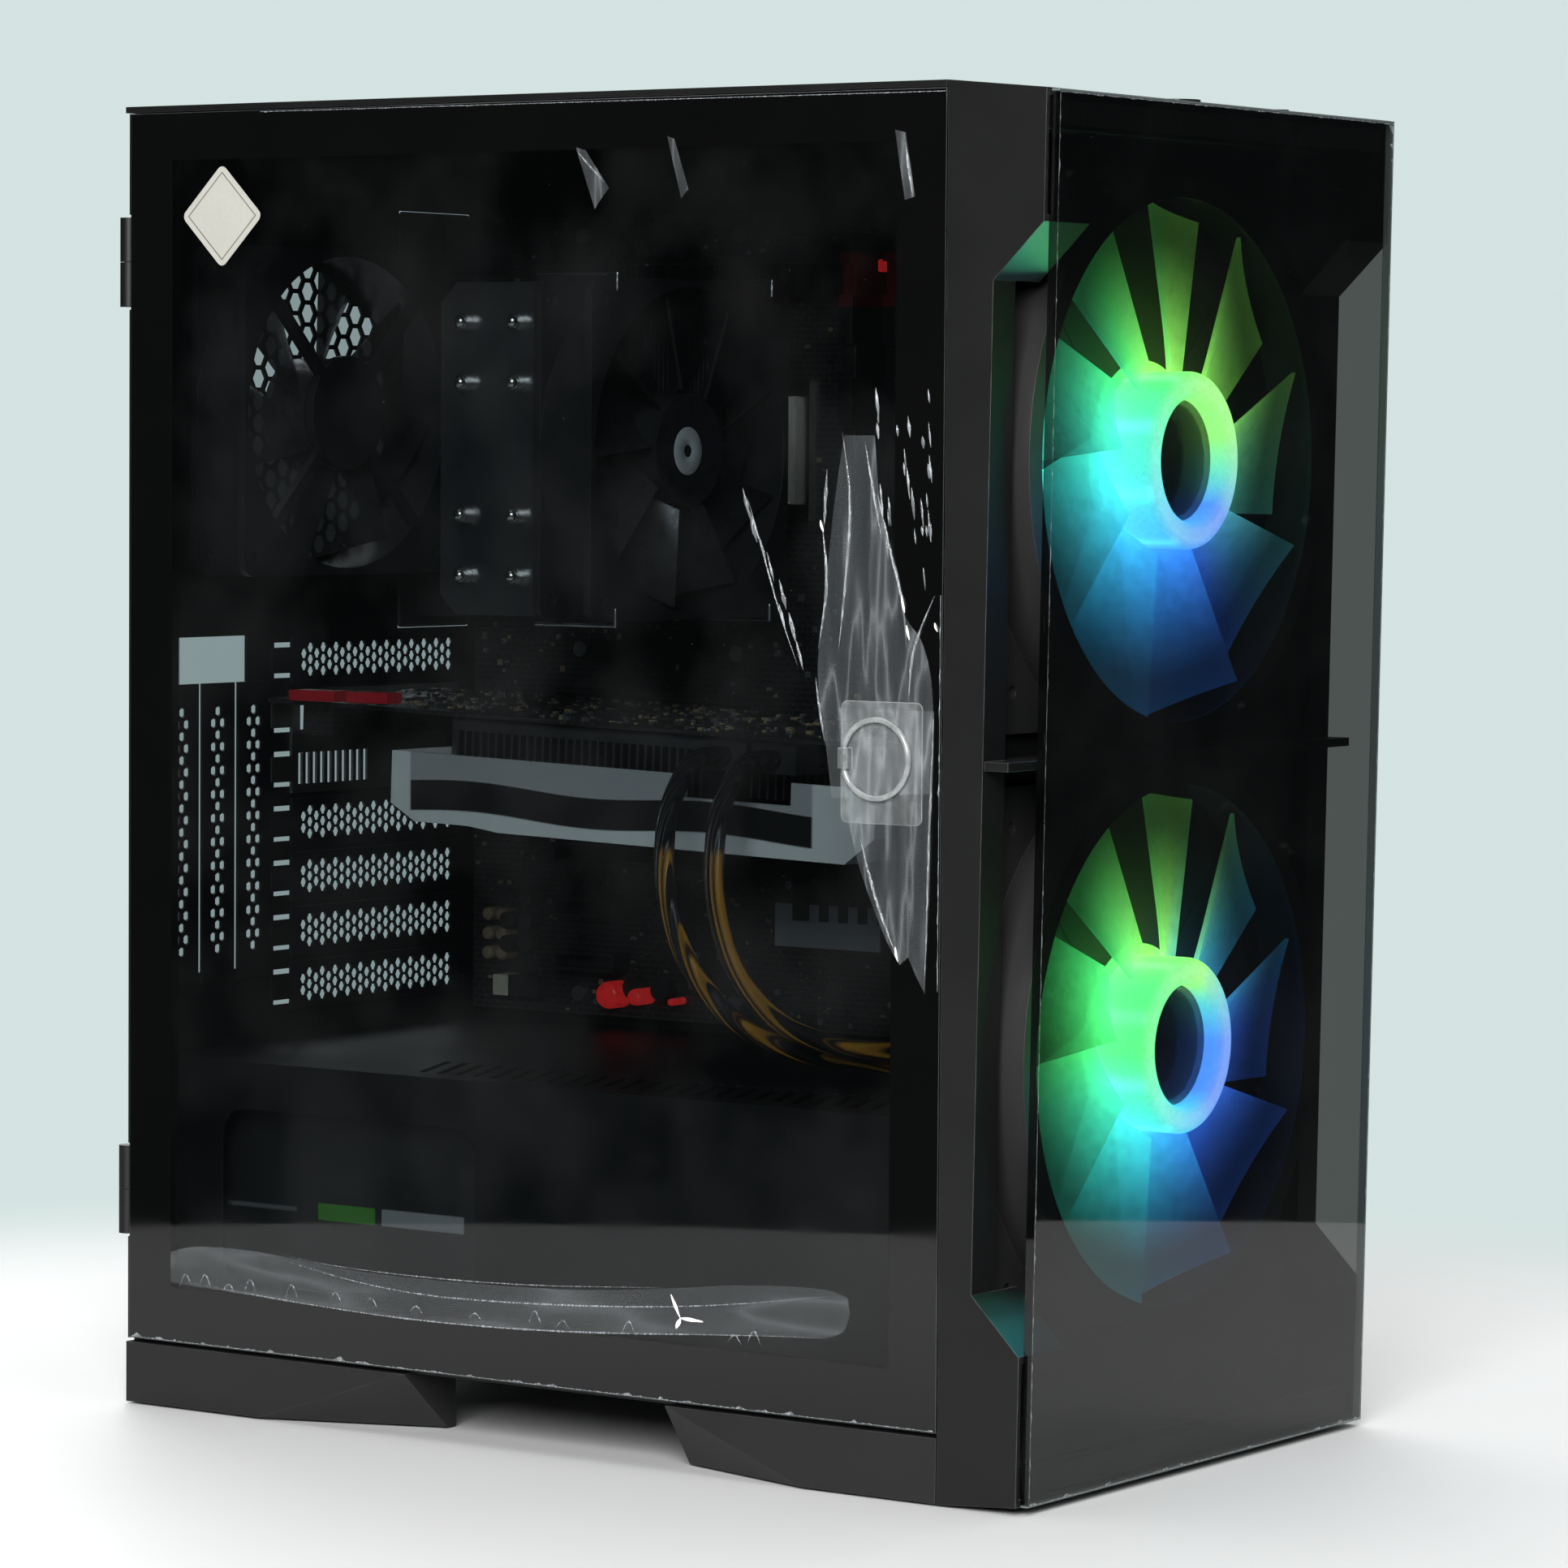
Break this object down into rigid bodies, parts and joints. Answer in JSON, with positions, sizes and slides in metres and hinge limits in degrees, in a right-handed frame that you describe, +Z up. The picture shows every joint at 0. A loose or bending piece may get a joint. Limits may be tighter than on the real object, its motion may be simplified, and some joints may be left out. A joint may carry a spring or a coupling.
{
  "type": "desktop computer tower",
  "caption": "Mid tower desktop computer with a hinged tinted glass side door, a leaning glass front over two lit fans, and its boards, cooler, graphics card and power supply inside.",
  "frame": {"origin": "middle of the underside of the bounding box, on the floor between the feet", "axes": "+Z up, -Y towards the glass front, -X towards the hinged glass door"},
  "size_m": [0.2316, 0.3978, 0.4678],
  "materials": {
    "black_steel": "fine satin black powder coat",
    "filter_mesh": "fine woven nylon mesh in a thin black frame",
    "black_screw": "black knurled",
    "black_plastic": "fine grained black moulding",
    "foot_rubber": "matte black",
    "tinted_glass": "polished, dark tint, black printed border",
    "smoked_glass": "polished, dark smoke tint",
    "clear_plastic": "clear polished",
    "paper_label": "blank cream label with a thin dark border",
    "foam": "black foam tape",
    "button_plastic": "smooth black",
    "socket_steel": "stamped steel shells",
    "fan_plastic": "satin black moulding",
    "milky_blades": "translucent milky white",
    "light_diffuser": "frosted diffuser lit in green, cyan and blue",
    "dark_blades": "smoky dark",
    "circuit_board": "black solder mask",
    "board_plastic": "black moulded nylon",
    "dark_aluminium": "dark anodised, red accents",
    "bare_steel": "zinc plated",
    "nickel_pipe": "nickel plated",
    "fin_aluminium": "raw thin sheet",
    "spring_wire": "bright spring wire",
    "shroud_plastic": "white and silver moulding with a black band",
    "cable_sleeve": "black woven sleeve over coloured wires"
  },
  "bodies": {
    "case": {"rear_panel": "black_steel", "slot_covers": "black_steel", "bottom_pan": "black_steel", "motherboard_tray": "black_steel", "front_frame": "black_steel", "roof_panel": "black_steel", "psu_shroud": "black_steel", "rear_feet": "black_plastic", "front_feet": "black_plastic", "foot_pads": "foot_rubber", "case_hinges": "black_steel", "lower_fan_frame": "fan_plastic", "upper_fan_frame": "fan_plastic", "rear_fan_frame": "fan_plastic", "motherboard": "circuit_board", "board_parts": "board_plastic", "board_heatsinks": "dark_aluminium", "board_sockets": "board_plastic", "memory_modules": "dark_aluminium", "io_shield": "bare_steel", "cooler_base": "nickel_pipe", "cooler_fins": "fin_aluminium", "cooler_fan_frame": "fan_plastic", "cooler_clips": "spring_wire", "gpu_board": "circuit_board", "gpu_bracket": "bare_steel", "gpu_heatsink": "fin_aluminium", "gpu_shroud": "shroud_plastic", "psu_case": "black_steel", "mains_inlet": "board_plastic", "gpu_power_plugs": "board_plastic", "gpu_power_cables": "cable_sleeve", "board_power_cable": "cable_sleeve", "screws": "bare_steel"},
    "door": {"door_glass": "tinted_glass", "door_hinges": "black_steel", "pull_base": "clear_plastic", "diamond_sticker": "paper_label"},
    "pull": {"pull_ring": "clear_plastic"},
    "front": {"front_bezel": "black_plastic", "front_glass": "smoked_glass", "glass_tape": "foam", "front_sockets": "socket_steel"},
    "power_key": {"power_button": "button_plastic"},
    "reset_key": {"reset_button": "button_plastic"},
    "lower_fan": {"lower_fan_impeller": "milky_blades", "lower_fan_light_ring": "light_diffuser"},
    "upper_fan": {"upper_fan_impeller": "milky_blades", "upper_fan_light_ring": "light_diffuser"},
    "rear_fan": {"rear_fan_impeller": "dark_blades"},
    "cooler_fan": {"cooler_fan_impeller": "dark_blades"},
    "gpu_fan_rear": {"gpu_rear_fan": "dark_blades"},
    "gpu_fan_front": {"gpu_front_fan": "dark_blades"},
    "psu_fan": {"psu_impeller": "dark_blades"},
    "rocker": {"psu_switch": "button_plastic"},
    "right_panel": {"right_side_panel": "black_steel", "thumbscrews": "black_screw"},
    "top_filter": {"roof_filter": "filter_mesh"},
    "lower_filter": {"bottom_filter": "filter_mesh"}
  },
  "joints": [
    {"name": "door_swing", "type": "hinge", "parent": "case", "child": "door", "pos_m": [-0.1083, 0.19572, 0.245], "axis": [0, 0, -1], "range_deg": [0, 110]},
    {"name": "pull_flip", "type": "hinge", "parent": "door", "child": "pull", "pos_m": [-0.1145, -0.12078, 0.2456], "axis": [0, 0, -1], "range_deg": [0, 95]},
    {"name": "lower_fan_spin", "type": "hinge", "parent": "case", "child": "lower_fan", "pos_m": [0.0017, -0.16868, 0.1449], "axis": [0, -1, 0], "continuous": true},
    {"name": "upper_fan_spin", "type": "hinge", "parent": "case", "child": "upper_fan", "pos_m": [0.0017, -0.16868, 0.3444], "axis": [0, -1, 0], "continuous": true},
    {"name": "rear_fan_spin", "type": "hinge", "parent": "case", "child": "rear_fan", "pos_m": [-0.0173, 0.18032, 0.3593], "axis": [0, 1, 0], "continuous": true},
    {"name": "cooler_fan_spin", "type": "hinge", "parent": "case", "child": "cooler_fan", "pos_m": [-0.0235, 0.01932, 0.3465], "axis": [0, -1, 0], "continuous": true},
    {"name": "gpu_rear_fan_spin", "type": "hinge", "parent": "case", "child": "gpu_fan_rear", "pos_m": [0.007, 0.06133, 0.21709], "axis": [0, 0.0297, -0.9996], "continuous": true},
    {"name": "gpu_front_fan_spin", "type": "hinge", "parent": "case", "child": "gpu_fan_front", "pos_m": [0.007, -0.03963, 0.2141], "axis": [0, 0.0297, -0.9996], "continuous": true},
    {"name": "psu_fan_spin", "type": "hinge", "parent": "case", "child": "psu_fan", "pos_m": [-0.0113, 0.11382, 0.032], "axis": [0, 0, -1], "continuous": true},
    {"name": "psu_rocker", "type": "hinge", "parent": "case", "child": "rocker", "pos_m": [0.0317, 0.18782, 0.0516], "axis": [-1, 0, 0], "range_deg": [0, 14]},
    {"name": "power_press", "type": "slide", "parent": "front", "child": "power_key", "axis": [0, 0, -1], "range_m": [0, 0.001], "stiffness_N_per_m": 400, "springref_m": -0.0005},
    {"name": "reset_press", "type": "slide", "parent": "front", "child": "reset_key", "axis": [0, 0, -1], "range_m": [0, 0.001], "stiffness_N_per_m": 300, "springref_m": -0.0005},
    {"name": "right_panel_slide", "type": "slide", "parent": "case", "child": "right_panel", "axis": [0, 1, 0], "range_m": [0, 0.012]},
    {"name": "front_panel_pull", "type": "slide", "parent": "case", "child": "front", "axis": [0, -1, 0], "range_m": [0, 0.03]},
    {"name": "top_filter_lift", "type": "slide", "parent": "case", "child": "top_filter", "axis": [0, 0, 1], "range_m": [0, 0.03]},
    {"name": "lower_filter_slide", "type": "slide", "parent": "case", "child": "lower_filter", "axis": [0, 1, 0], "range_m": [0, 0.16]}
  ]
}
